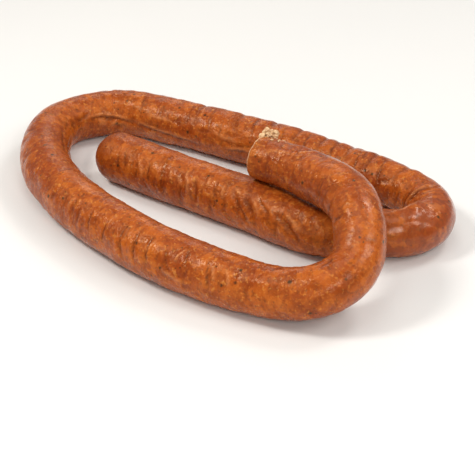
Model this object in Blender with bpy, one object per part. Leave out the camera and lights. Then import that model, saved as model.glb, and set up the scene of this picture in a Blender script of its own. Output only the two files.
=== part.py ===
"""A long smoked sausage lying in an open coil on a flat surface, as one solid.

Its route starts at the rounded end inside the coil, runs to the right, turns back in a tight bend,
goes round the left side and along the front, and climbs in a loop over its own first run, on which
the cut end comes to rest. Run it with blender --background --python part.py.
Sizes are in millimetres until the mesh is made, in metres. +Z is up, the long runs lie along X, and
the origin is under the middle of the coil, on the surface that it rests on.
"""

import math

import bmesh
import bpy
import numpy as np

MM = 0.001

# The thickest stretch, and how far the sausage's weight presses its underside flat.
FULL_DIAMETER = 36.5
PRESSED_FLAT = 0.9

# The centreline, from the tip of the rounded end to the cut end. Each station is x, y, the height of
# the underside over the surface, and the diameter as a share of the full one.
ROUTE = (
    # first run, inside the coil
    (-96, 7, 0, 0.99),
    (-45, 3, 0, 1.01),
    (10, 1, 0, 1.00),
    (61, -2, 0, 0.99),
    (95, -2, 0, 0.92),
    # tight right-hand bend
    (119, 13, 0, 0.88),
    (141, 28, 0, 0.90),
    (149, 47, 0, 0.89),
    (140, 67, 0, 0.87),
    # back run
    (113, 79, 0, 0.89),
    (64, 83, 0, 0.93),
    (9, 82, 0, 0.98),
    (-46, 78, 0, 0.99),
    # wide left-hand bend
    (-89, 75, 0, 0.98),
    (-122, 68, 0, 0.96),
    (-144, 45, 0, 0.96),
    (-149, 19, 0, 0.96),
    (-138, -7, 0, 0.98),
    (-113, -35, 0, 1.00),
    # front run
    (-75, -58, 0, 1.00),
    (-30, -73, 0, 1.00),
    (20, -83, 0, 0.99),
    (66, -85, 0, 0.96),
    (101, -82, 1, 0.90),
    # loop that climbs over the first run
    (130, -73, 6, 0.88),
    (144, -53, 15, 0.89),
    (138, -32, 28, 0.89),
    (122, -14, 36, 0.90),
    (97, 0, 35.5, 0.91),
    # last run, lying on the first
    (70, 8, 34.5, 0.86),
    (52, 10, 34.5, 0.82),
    (39, 11, 34.5, 0.79),
)

# At the cut end the casing is torn back on one side, where a tuft of the filling stands out of it.
# Turns about the sausage's axis count from the coil's back, over the top.
TORN_BACK = 4.0
TORN_TURN = math.radians(20)
TUFT_HEIGHT = 9.0
TUFT_TURN = math.radians(43)
# The filling, from the rim to the middle: share of the rim's radius, bulge and share of the tuft.
FILLING = ((0.96, 1.2, 0.75), (0.84, 3.6, 1.0), (0.55, 5.0, 0.55), (0.25, 5.4, 0.15))

SIDES = 20
RING_STEP = 6.0
DOME_RINGS = 5
TORN_LENGTH = 30.0


def unit(vectors):
    return vectors / np.linalg.norm(vectors, axis=-1, keepdims=True)


def natural_spline(knots, values, at):
    """Values at any parameters of the natural cubic spline through the knots."""
    step = np.diff(knots)
    rows = len(knots)
    system = np.eye(rows)
    right = np.zeros((rows, values.shape[1]))
    slope = np.diff(values, axis=0) / step[:, None]
    for i in range(1, rows - 1):
        system[i, i - 1 : i + 2] = step[i - 1], 2 * (step[i - 1] + step[i]), step[i]
        right[i] = 6 * (slope[i] - slope[i - 1])
    bend = np.linalg.solve(system, right)
    i = np.clip(np.searchsorted(knots, at, side="right") - 1, 0, rows - 2)
    gap = step[i][..., None]
    left = (knots[i + 1] - at)[..., None] / gap
    past = (at - knots[i])[..., None] / gap
    curve = (left**3 - left) * bend[i] + (past**3 - past) * bend[i + 1]
    return left * values[i] + past * values[i + 1] + curve * gap**2 / 6


class Centreline:
    """The smooth curve through the route, read by the distance along it."""

    def __init__(self, route):
        x, y, lift, share = np.array(route, float).T
        diameter = share * FULL_DIAMETER
        height = lift + diameter / 2 - np.where(lift > 0, 0, PRESSED_FLAT)
        self.values = np.column_stack([x, y, height, diameter])
        gaps = np.linalg.norm(np.diff(self.values[:, :3], axis=0), axis=1)
        self.knots = np.concatenate([[0], np.cumsum(gaps)])
        self.fine = np.linspace(0, self.knots[-1], 4000)
        points = natural_spline(self.knots, self.values, self.fine)[:, :3]
        steps = np.linalg.norm(np.diff(points, axis=0), axis=1)
        self.distance = np.concatenate([[0], np.cumsum(steps)])
        self.length = self.distance[-1]

    def at(self, along):
        """Centre, sideways direction, upward direction and radius at distances along the curve."""
        knot = np.interp(along, self.distance, self.fine)
        here = natural_spline(self.knots, self.values, knot)
        ahead = natural_spline(self.knots, self.values, knot + 0.05)
        behind = natural_spline(self.knots, self.values, knot - 0.05)
        tangent = unit(ahead[..., :3] - behind[..., :3])
        side = unit(np.cross(tangent, [0.0, 0.0, 1.0]))
        return here[..., :3], side, np.cross(side, tangent), here[..., 3] / 2


def turns():
    """The turn of each corner of a ring about the sausage's axis, from the underside round."""
    return np.arange(SIDES) * 2 * math.pi / SIDES - math.pi / 2


def skin_rings(line):
    """Rings of points over the whole skin, from beside the rounded tip to the rim of the cut."""
    angle = turns()
    tip_radius = line.values[0, 3] / 2
    dome = np.linspace(0, math.pi / 2, DOME_RINGS + 1)[1:]
    rows = int((line.length - tip_radius) / RING_STEP)
    straight = np.linspace(tip_radius, line.length, rows + 1)[1:]
    along = np.concatenate([tip_radius * (1 - np.cos(dome)), straight])
    # Rings near the cut fall back on the torn side, more and more towards the rim.
    share = np.clip((along - line.length + TORN_LENGTH) / TORN_LENGTH, 0, 1)
    torn = TORN_BACK * np.maximum(np.cos(angle - TORN_TURN), 0) ** 2
    along = along[:, None] - torn * share[:, None] ** 2
    centre, side, up, radius = line.at(along)
    radius = radius * np.sqrt(1 - np.clip(1 - along / tip_radius, 0, 1) ** 2)
    outward = np.cos(angle)[:, None] * side + np.sin(angle)[:, None] * up
    points = centre + radius[..., None] * outward
    points[..., 2] = np.maximum(points[..., 2], 0)
    return points


def filling_rings(line, rim):
    """Rings over the filling, which bulges out of the rim and stands up in a tuft, and its middle."""
    centre, side, up, _ = line.at(np.array(line.length))
    ahead = np.cross(up, side)
    middle = rim.mean(axis=0)
    outward = unit(rim - centre)
    tuft = TUFT_HEIGHT * np.maximum(np.cos(turns() - TUFT_TURN), 0) ** 6
    rings = []
    for share, bulge, raised in FILLING:
        ring = middle + share * (rim - middle) + bulge * ahead
        rings.append(ring + (raised * tuft)[:, None] * outward)
    return rings, middle + FILLING[-1][1] * ahead


def sausage_mesh(line):
    """One closed mesh in metres: a tip, the skin's rings, the filling's rings and their middle."""
    skin = skin_rings(line)
    filling, heart = filling_rings(line, skin[-1])
    rings = np.concatenate([skin, filling])
    tip = line.at(np.array(0.0))[0]
    points = np.concatenate([[tip], rings.reshape(-1, 3), [heart]]) * MM
    low, high = points.min(axis=0), points.max(axis=0)
    points -= [(low[0] + high[0]) / 2, (low[1] + high[1]) / 2, low[2]]

    shape = bmesh.new()
    corners = [shape.verts.new(point) for point in points]
    loops = [corners[1 + i * SIDES :][:SIDES] for i in range(len(rings))]
    for i in range(SIDES):
        j = (i + 1) % SIDES
        shape.faces.new((corners[0], loops[0][j], loops[0][i]))
        shape.faces.new((corners[-1], loops[-1][i], loops[-1][j]))
        for near, far in zip(loops, loops[1:]):
            shape.faces.new((near[i], near[j], far[j], far[i]))
    bmesh.ops.recalc_face_normals(shape, faces=shape.faces)
    mesh = bpy.data.meshes.new("sausage")
    shape.to_mesh(mesh)
    shape.free()
    mesh.shade_smooth()
    return mesh


def casing_material():
    """Smoked natural casing: orange-brown and softly glossy."""
    material = bpy.data.materials.new("smoked_casing")
    material.use_nodes = True
    shader = material.node_tree.nodes["Principled BSDF"]
    shader.inputs["Base Color"].default_value = (0.45, 0.13, 0.035, 1)
    shader.inputs["Roughness"].default_value = 0.4
    shader.inputs["Metallic"].default_value = 0.0
    return material


def main():
    for old in list(bpy.data.objects):
        bpy.data.objects.remove(old)
    mesh = sausage_mesh(Centreline(ROUTE))
    mesh.materials.append(casing_material())
    sausage = bpy.data.objects.new("sausage", mesh)
    bpy.context.scene.collection.objects.link(sausage)


main()
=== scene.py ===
"""Looks of a long smoked sausage that lies in an open coil.

The skin is one tube round a smooth centreline, with the lumps of the meat and the folds of the
casing pressed into it. The cut end shows the crumbly filling, a tuft of it that stands out of the
cut, and the pale edge of the casing. Lengths are in millimetres until a mesh is made, in metres.
Distances along the sausage count from its rounded end, and turns about its axis from the coil's
outer side, over the top.
"""

import itertools
import logging
import math
from dataclasses import dataclass, field
from enum import Enum, IntEnum

import bpy
import numpy as np
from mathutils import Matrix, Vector


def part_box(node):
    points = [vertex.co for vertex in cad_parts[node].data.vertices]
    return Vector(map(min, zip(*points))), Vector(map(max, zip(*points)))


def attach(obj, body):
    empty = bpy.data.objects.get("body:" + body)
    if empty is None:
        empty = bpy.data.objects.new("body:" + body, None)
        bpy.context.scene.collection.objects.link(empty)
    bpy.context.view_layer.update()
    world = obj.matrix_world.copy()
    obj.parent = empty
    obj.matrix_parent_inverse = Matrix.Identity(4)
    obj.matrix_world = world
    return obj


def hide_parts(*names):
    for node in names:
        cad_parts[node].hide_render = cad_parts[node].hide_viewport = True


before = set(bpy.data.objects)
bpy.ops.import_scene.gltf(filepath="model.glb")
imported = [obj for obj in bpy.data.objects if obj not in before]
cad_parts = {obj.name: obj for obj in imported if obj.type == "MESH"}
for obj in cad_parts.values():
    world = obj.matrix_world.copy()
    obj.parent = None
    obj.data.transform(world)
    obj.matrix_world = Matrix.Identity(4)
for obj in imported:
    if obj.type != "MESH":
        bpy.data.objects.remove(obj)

MM = 0.001
ORIGIN = (0.0, 0.0, 0.0)
SENSOR_WIDTH = 36.0

# Large odd numbers that mix a lattice corner's whole coordinates into one, 32 bits long.
CORNER_MIX = (73856093, 19349663, 83492791)
LAST_MIX = 1274126177
ALL_BITS = 0xFFFFFFFF

# Where the texture map starts and how much of it is used, across it and up each of its strips.
MAP_ACROSS = (0.01, 0.97)
MAP_UP = (0.02, 0.96)

Array = np.ndarray
Colour = tuple[float, float, float]
Stretch = tuple[float, float, float]
Socket = bpy.types.NodeSocket
Sockets = bpy.types.NodeOutputs
Amount = float | Socket
Paint = Colour | Socket
Layers = tuple[tuple[Socket, float, Colour], ...]

log = logging.getLogger("sausage")


class Seed(IntEnum):
    """Which of many random patterns each use of noise or chance takes."""

    FOLDS = 4
    RAGGED_CUT = 5
    COARSE_LUMPS = 11
    CRUMBS = 12
    FINE_LUMPS = 23
    SWELLINGS = 37
    FILLING_LUMPS = 51
    FILLING_GRAINS = 57
    CRUMB_LUMPS = 61
    WAVERING_FOLDS = 71
    EDGE_ALONG = 83
    EDGE_OUTWARD = 87
    EDGE_THICKNESS = 91


# ---------------------------------------------------------------- numbers


def unit(vectors: Array) -> Array:
    """Vectors divided by their own length."""
    return vectors / np.linalg.norm(vectors, axis=-1, keepdims=True)


def eased(value: Array, low: float, high: float) -> Array:
    """A smooth step from 0 at low to 1 at high: t squared times (3 - 2t), t being the share between.

    Args:
        value: Numbers to turn into shares.
        low: Where the step starts. It may be above high, and the step then falls.
        high: Where the step ends.

    Returns:
        Shares from 0 to 1.
    """
    t = np.clip((value - low) / (high - low), 0, 1)
    return t * t * (3 - 2 * t)


def held(value: Array, stretch: tuple[float, float, float, float]) -> Array:
    """A smooth step up between a stretch's first two numbers, and down between its last two."""
    return eased(value, stretch[0], stretch[1]) * eased(value, stretch[3], stretch[2])


def wrapped(turn: Array) -> Array:
    """Angles brought between minus half a turn and half a turn."""
    return (turn + math.pi) % (2 * math.pi) - math.pi


def gradient_noise(points: Array, seed: int) -> Array:
    """Smooth noise in space, about -1 to 1, that changes over a distance of one.

    Each corner of a unit lattice has a fixed random slope. The value is the sum over a cell's eight
    corners of slope times distance, weighed by 6t^5 - 15t^4 + 10t^3 along each side.

    Args:
        points: Places, with their three coordinates last.
        seed: Picks one of many such noises.

    Returns:
        One value for each place.
    """
    slopes = unit(np.random.default_rng(seed).normal(size=(256, 3)))
    cell = np.floor(points).astype(np.int64)
    part = points - cell
    fade = part**3 * (part * (part * 6 - 15) + 10)
    total = np.zeros(points.shape[:-1])
    for corner in itertools.product((0, 1), repeat=3):
        x, y, z = np.moveaxis((cell + corner) * CORNER_MIX, -1, 0)
        mixed = (x ^ y ^ z) & ALL_BITS
        mixed = (mixed ^ mixed >> 13) * LAST_MIX & ALL_BITS
        slope = slopes[(mixed ^ mixed >> 16) & 255]
        weight = np.prod(np.where(corner, fade, 1 - fade), axis=-1)
        total += weight * ((part - corner) * slope).sum(axis=-1)
    return 1.6 * total


def layered_noise(points: Array, size: float, seed: int, layers: int = 3) -> Array:
    """Noise with finer noise laid over it, each layer half the size and half the height of the last.

    Args:
        points: Places in millimetres.
        size: How far apart the coarsest bumps are, in millimetres.
        seed: Picks one of many such noises.
        layers: How many layers are summed.

    Returns:
        One value for each place, about -1 to 1.
    """
    total = sum(
        gradient_noise(points * 2**k / size, seed + k) / 2**k for k in range(layers)
    )
    return total / (2 - 2.0 ** (1 - layers))


@dataclass(frozen=True)
class Lumps:
    """Lumps of one sort in a surface.

    Attributes:
        height: How high they stand.
        size: How far apart they are.
        seed: Which noise places them.
        layers: How many layers of noise they have.
    """

    height: float
    size: float
    seed: Seed
    layers: int = 2

    def at(self, points: Array) -> Array:
        """Their height at each place."""
        return self.height * layered_noise(points, self.size, self.seed, self.layers)


def straight(along: Array, turn: Array, radius: Array | float) -> Array:
    """Places on the sausage as if it were pulled straight, along the first axis."""
    around = (radius * np.cos(turn), radius * np.sin(turn))
    return np.stack(np.broadcast_arrays(along, *around), axis=-1)


def natural_spline(knots: Array, values: Array, at: Array) -> Array:
    """Values at any parameters of the natural cubic spline through the knots.

    The second derivatives at the knots solve the usual three-term system, and are zero at both ends.

    Args:
        knots: Rising parameters, one for each row of values.
        values: Rows that the spline passes through.
        at: Parameters to read the spline at.

    Returns:
        One row of values for each parameter.
    """
    step = np.diff(knots)
    rows = len(knots)
    system = np.eye(rows)
    right = np.zeros((rows, values.shape[1]))
    slope = np.diff(values, axis=0) / step[:, None]
    for i in range(1, rows - 1):
        system[i, i - 1 : i + 2] = step[i - 1], 2 * (step[i - 1] + step[i]), step[i]
        right[i] = 6 * (slope[i] - slope[i - 1])
    bend = np.linalg.solve(system, right)
    i = np.clip(np.searchsorted(knots, at, side="right") - 1, 0, rows - 2)
    gap = step[i][..., None]
    left = (knots[i + 1] - at)[..., None] / gap
    past = (at - knots[i])[..., None] / gap
    curve = (left**3 - left) * bend[i] + (past**3 - past) * bend[i + 1]
    return left * values[i] + past * values[i + 1] + curve * gap**2 / 6


# ---------------------------------------------------------------- meshes


@dataclass
class TubeMesh:
    """A closed tube made of rings of points, with a pole at each end.

    Attributes:
        name: The piece's name.
        rings: Points in millimetres, ring by ring, each ring running round the tube.
        first: The pole before the first ring.
        last: The pole after the last ring.
        strips: How many strips the tube is cut into along its length for its texture map.
    """

    name: str
    rings: Array
    first: Array
    last: Array
    strips: int = 1

    def points(self) -> Array:
        """All the mesh's points in metres: the first pole, the rings and the last pole."""
        flat = self.rings.reshape(-1, 3)
        return np.concatenate([[self.first], flat, [self.last]]) * MM

    def corners(self) -> tuple[Array, Array]:
        """Numbers the corners of every face.

        Returns:
            The point numbers of the quads between rings, and of the triangles at the poles.
        """
        rows, columns = self.rings.shape[:2]
        number = 1 + np.arange(rows * columns).reshape(rows, columns)
        nearby = np.roll(number, -1, axis=1)
        quads = np.stack([number[:-1], nearby[:-1], nearby[1:], number[1:]], axis=-1)
        start = np.stack([np.zeros(columns, int), nearby[0], number[0]], axis=-1)
        pole = np.full(columns, rows * columns + 1)
        end = np.stack([pole, number[-1], nearby[-1]], axis=-1)
        return quads.reshape(-1, 4), np.concatenate([start, end])

    def map_places(self) -> tuple[Array, Array]:
        """Lays the faces out on the texture map, strip above strip.

        A quad's row, counted over all the rings, gives its strip, and its place in the strip runs
        across the map. Its column, counted round the tube, runs up the strip.

        Returns:
            The places of the quads' corners, and of the triangles' corners.
        """
        rows, columns = self.rings.shape[:2]
        tall = (rows + 1) / self.strips
        row = np.arange(1, rows)[:, None, None] + np.array([0, 0, 1, 1])
        column = np.arange(columns)[None, :, None] + np.array([0, 1, 1, 0])
        row, column = np.broadcast_arrays(row, column)
        strip = np.floor((row[..., :1] + 0.01) / tall)
        quads = self.place(strip, row / tall - strip, column / columns)
        column = np.arange(columns)[:, None] + np.array([0.5, 1, 0])
        start = self.place(0, np.array([0, 1, 1]) / tall, column / columns)
        column = np.arange(columns)[:, None] + np.array([0.5, 0, 1])
        share = 1 - np.array([0, 1, 1]) / tall
        end = self.place(self.strips - 1, share, column / columns)
        return quads.reshape(-1, 2), np.concatenate([start.reshape(-1, 2), end.reshape(-1, 2)])

    def place(self, strip: Array, across: Array, up: Array) -> Array:
        """Finds places on the texture map, a little inside a strip.

        Args:
            strip: The strip's number.
            across: The share of the way across it.
            up: The share of the way up it.

        Returns:
            The places.
        """
        across, up, strip = np.broadcast_arrays(across, up, strip)
        across = MAP_ACROSS[0] + MAP_ACROSS[1] * across
        up = (strip + MAP_UP[0] + MAP_UP[1] * up) / self.strips
        return np.stack([across, up], axis=-1)

    def build(self, **attributes: Array) -> bpy.types.Object:
        """Makes the object, at the origin, with its texture map and its points' attributes.

        Args:
            **attributes: A number or a vector for each of points(), under the attribute's name.

        Returns:
            The new object, smooth shaded and linked to the scene.
        """
        points = self.points()
        quads, triangles = self.corners()
        mesh = bpy.data.meshes.new(self.name)
        mesh.vertices.add(len(points))
        mesh.vertices.foreach_set("co", points.astype(np.float32).ravel())
        corners = np.concatenate([quads.ravel(), triangles.ravel()])
        mesh.loops.add(len(corners))
        mesh.loops.foreach_set("vertex_index", corners.astype(np.int32))
        sizes = np.repeat([4, 3], [len(quads), len(triangles)])
        starts = np.concatenate([[0], np.cumsum(sizes)[:-1]])
        mesh.polygons.add(len(sizes))
        mesh.polygons.foreach_set("loop_start", starts.astype(np.int32))
        mesh.update(calc_edges=True)
        places = np.concatenate(self.map_places()).astype(np.float32)
        mesh.uv_layers.new(name="OFBake").data.foreach_set("uv", places.ravel())
        for name, values in attributes.items():
            kind, slot = ("FLOAT", "value") if values.ndim == 1 else ("FLOAT_VECTOR", "vector")
            layer = mesh.attributes.new(name, kind, "POINT")
            layer.data.foreach_set(slot, values.astype(np.float32).ravel())
        mesh.shade_smooth()
        mesh.validate()
        piece = bpy.data.objects.new(self.name, mesh)
        bpy.context.scene.collection.objects.link(piece)
        return piece


# ---------------------------------------------------------------- the route


@dataclass(frozen=True)
class Route:
    """The stations of the sausage's centreline, from the rounded end to the cut end.

    Attributes:
        full_diameter: The thickest stretch.
        pressed_flat: How far the sausage's weight presses its underside flat.
        stations: x, y, the underside's height, and the diameter as a share of the full one.
    """

    full_diameter: float = 36.5
    pressed_flat: float = 0.9
    stations: tuple[tuple[float, float, float, float], ...] = (
        # first run, inside the coil
        (-96, 7, 0, 0.99),
        (-45, 3, 0, 1.01),
        (10, 1, 0, 1.00),
        (61, -2, 0, 0.99),
        (95, -2, 0, 0.92),
        # tight right-hand bend
        (119, 13, 0, 0.88),
        (141, 28, 0, 0.90),
        (149, 47, 0, 0.89),
        (140, 67, 0, 0.87),
        # back run
        (113, 79, 0, 0.89),
        (64, 83, 0, 0.93),
        (9, 82, 0, 0.98),
        (-46, 78, 0, 0.99),
        # wide left-hand bend
        (-89, 75, 0, 0.98),
        (-122, 68, 0, 0.96),
        (-144, 45, 0, 0.96),
        (-149, 19, 0, 0.96),
        (-138, -7, 0, 0.98),
        (-113, -35, 0, 1.00),
        # front run
        (-75, -58, 0, 1.00),
        (-30, -73, 0, 1.00),
        (20, -83, 0, 0.99),
        (66, -85, 0, 0.96),
        (101, -82, 1, 0.90),
        # loop that climbs over the first run
        (130, -73, 6, 0.88),
        (144, -53, 15, 0.89),
        (138, -32, 28, 0.89),
        (122, -14, 36, 0.90),
        (97, 0, 35.5, 0.91),
        # last run, lying on the first
        (70, 8, 34.5, 0.86),
        (52, 10, 34.5, 0.82),
        (39, 11, 34.5, 0.79),
    )


@dataclass(frozen=True)
class Section:
    """Where the centreline is, and which way its cross-section faces, at any distances along it.

    Attributes:
        centre: Points on the centreline.
        side: Level directions, to the right of the way that the sausage runs.
        up: The directions square to the side and to the sausage's run.
        radius: The sausage's radius.
    """

    centre: Array
    side: Array
    up: Array
    radius: Array

    def at_turn(self, turn: Array) -> Array:
        """Outward directions: cosine of the turn times side, plus sine of the turn times up."""
        return np.cos(turn)[..., None] * self.side + np.sin(turn)[..., None] * self.up


class Centreline:
    """The smooth curve through the route, read by the distance along it.

    Attributes:
        samples: How many points measure the curve's length.
        box_samples: How many points measure the bare tube's box.
        glance: How far ahead and behind the curve is read to tell which way it runs.
    """

    samples: int = 4000
    box_samples: int = 3000
    glance: float = 0.05

    def __init__(self, route: Route) -> None:
        """Fits a natural spline through the stations, by the straight distance between them.

        Args:
            route: The stations.
        """
        x, y, lift, share = np.array(route.stations, float).T
        diameter = share * route.full_diameter
        height = lift + diameter / 2 - np.where(lift > 0, 0, route.pressed_flat)
        self.values = np.column_stack([x, y, height, diameter])
        self.shift = np.zeros(3)
        gaps = np.linalg.norm(np.diff(self.values[:, :3], axis=0), axis=1)
        self.knots = np.concatenate([[0], np.cumsum(gaps)])
        self.fine = np.linspace(0, self.knots[-1], self.samples)
        points = natural_spline(self.knots, self.values, self.fine)[:, :3]
        steps = np.linalg.norm(np.diff(points, axis=0), axis=1)
        self.distance = np.concatenate([[0], np.cumsum(steps)])
        self.length = float(self.distance[-1])
        self.tip_radius = float(diameter[0] / 2)

    def at(self, along: Array) -> Section:
        """Reads the curve.

        Args:
            along: Distances along it.

        Returns:
            The cross-section at each distance.
        """
        knot = np.interp(along, self.distance, self.fine)
        here = natural_spline(self.knots, self.values, knot)
        ahead = natural_spline(self.knots, self.values, knot + self.glance)
        behind = natural_spline(self.knots, self.values, knot - self.glance)
        tangent = unit(ahead[..., :3] - behind[..., :3])
        side = unit(np.cross(tangent, [0.0, 0.0, 1.0]))
        up = np.cross(side, tangent)
        return Section(here[..., :3] + self.shift, side, up, here[..., 3] / 2)

    def centre_on(self, low: Vector, high: Vector) -> None:
        """Shifts the curve level, so that the bare tube is centred on a box.

        Args:
            low: The box's lowest corner, in metres.
            high: Its highest corner.
        """
        section = self.at(np.linspace(0, self.length, self.box_samples))
        reach = section.radius[:, None] * np.sqrt(1 - unit(np.cross(section.side, section.up)) ** 2)
        lowest = (section.centre - reach).min(axis=0)
        highest = (section.centre + reach).max(axis=0)
        middle = (np.array(low) + np.array(high)) / 2 / MM
        self.shift[:2] += (middle - (lowest + highest) / 2)[:2]


# ---------------------------------------------------------------- folds in the casing


@dataclass(frozen=True)
class Fold:
    """One fold in the casing: a crease, a ridge, or a place where it laps over itself.

    Attributes:
        along: Distance along the sausage to its middle.
        turn: Turn about the sausage's axis to its middle, in degrees: 0 is the outer side of the
            coil, 90 the top and 180 the inner side.
        heading: Which way it runs, in degrees: 0 along the sausage, 90 across it.
        length: How far it runs.
        depth: How deep it is. A ridge has less than nothing.
        width: Half its width.
        bow: How far its ends bend away from a straight line.
        lap: Over what distance the skin climbs back on its low side. With none, it is a plain fold.
    """

    along: float
    turn: float
    heading: float
    length: float
    depth: float
    width: float
    bow: float = 0.0
    lap: float = 0.0


@dataclass(frozen=True)
class FoldedStretch:
    """A stretch of the sausage with folds of one sort, spread at random over it.

    Attributes:
        start: Distance along the sausage at which the stretch starts.
        end: Distance at which it ends.
        turn: Turn on which the folds are centred, in degrees.
        spread: How far from that turn they stray, in degrees.
        spacing: How far apart they are along the sausage.
        heading: Which way they run, in degrees.
        length: How long they are.
        depth: How deep they are.
        width: Half their width.
    """

    start: float
    end: float
    turn: float
    spread: float
    spacing: float
    heading: float
    length: float
    depth: float
    width: float

    def folds(self, chance: np.random.Generator) -> list[Fold]:
        """The stretch's folds, each a little different from the next.

        Args:
            chance: The random numbers to draw from.

        Returns:
            One fold for each spacing.
        """
        count = max(1, round((self.end - self.start) / self.spacing))
        along = self.start + (np.arange(count) + chance.uniform(0.1, 0.9, count)) * self.spacing
        turn = self.turn + chance.uniform(-1, 1, count) * self.spread
        heading = self.heading + chance.normal(0, 9, count)
        length = self.length * chance.uniform(0.55, 1.35, count)
        depth = self.depth * chance.uniform(0.35, 1.25, count)
        width = self.width * chance.uniform(0.75, 1.3, count)
        bow = chance.normal(0, 0.09, count) * length
        return [Fold(*map(float, row)) for row in zip(along, turn, heading, length, depth, width, bow)]


class FoldField:
    """The height that folds add to the skin, and the painted shade of creases and highlight of ridges.

    Attributes:
        waver: How unevenly a fold's line runs.
    """

    waver: Lumps = Lumps(1.0, 5.0, Seed.WAVERING_FOLDS)

    def __init__(self, along: Array, turn: Array, radius: Array) -> None:
        """Starts with a smooth skin.

        Args:
            along: Each point's distance along the sausage.
            turn: Its turn about the axis, in radians.
            radius: Its distance from the axis.
        """
        self.along, self.turn, self.radius = along, turn, radius
        self.height = np.zeros(along.shape)
        # Masks of painted shade along creases and of painted highlight along ridges and lapped lips.
        self.crease_shade = np.zeros(along.shape)
        self.ridge_sheen = np.zeros(along.shape)
        self.middle = along.mean(axis=1)
        self.drift = self.waver.at(straight(along, turn, radius))

    def press(self, fold: Fold) -> None:
        """Presses one fold into the skin.

        Its floor is minus depth times exp(-(x / width)^1.5), x being the distance across it. A low
        swelling on each side, at 2.4 widths, is where the casing is pushed up. Where the casing laps
        over itself, one side drops sharply and climbs back as exp(-x / lap).

        Args:
            fold: The fold to press in.
        """
        reach = fold.length / 2 + 6 * fold.width + 2 * fold.lap
        rows = np.flatnonzero(np.abs(self.middle - fold.along) < reach + 8)
        if not len(rows):
            return
        rows = slice(rows[0], rows[-1] + 1)
        ahead = self.along[rows] - fold.along
        across = self.radius[rows] * wrapped(self.turn[rows] - math.radians(fold.turn))
        cos, sin = math.cos(math.radians(fold.heading)), math.sin(math.radians(fold.heading))
        run = (ahead * cos + across * sin) / (fold.length / 2)
        bend = fold.bow * np.minimum(run**2, 2.5)
        off = across * cos - ahead * sin + bend + 0.8 * fold.width * self.drift[rows]
        fade = eased(np.abs(run), 1.0, 0.3)
        if fold.lap:
            low = eased(off, -0.3 * fold.width, 1.1 * fold.width)
            shape = 0.4 * (1 - low) * np.exp(np.minimum(off, 0) / (0.5 * fold.lap))
            shape -= low * np.exp(-np.maximum(off, 0) / fold.lap)
            # The lip where the casing laps over is marked for a painted highlight.
            lip = fade * np.exp(-(((off + 1.1 * fold.width) / fold.width) ** 2))
            self.ridge_sheen[rows] = np.maximum(self.ridge_sheen[rows], 0.7 * lip)
            off = off - 0.9 * fold.width
        else:
            swelling = np.exp(-(((np.abs(off) - 2.4 * fold.width) / (1.3 * fold.width)) ** 2))
            shape = 0.3 * swelling - np.exp(-((np.abs(off) / fold.width) ** 1.5))
        self.height[rows] += fold.depth * fade * shape
        # A crease's line is marked for painted shade, a ridge's line for a painted highlight.
        strength = min(1.0, abs(fold.depth) / 0.5) * max(0.0, 1.2 - 0.3 * fold.width)
        line = strength * fade * np.exp(-((off / (0.7 * fold.width)) ** 2))
        marks = self.crease_shade if fold.depth > 0 else self.ridge_sheen
        marks[rows] = np.maximum(marks[rows], line)


# ---------------------------------------------------------------- the skin


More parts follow.
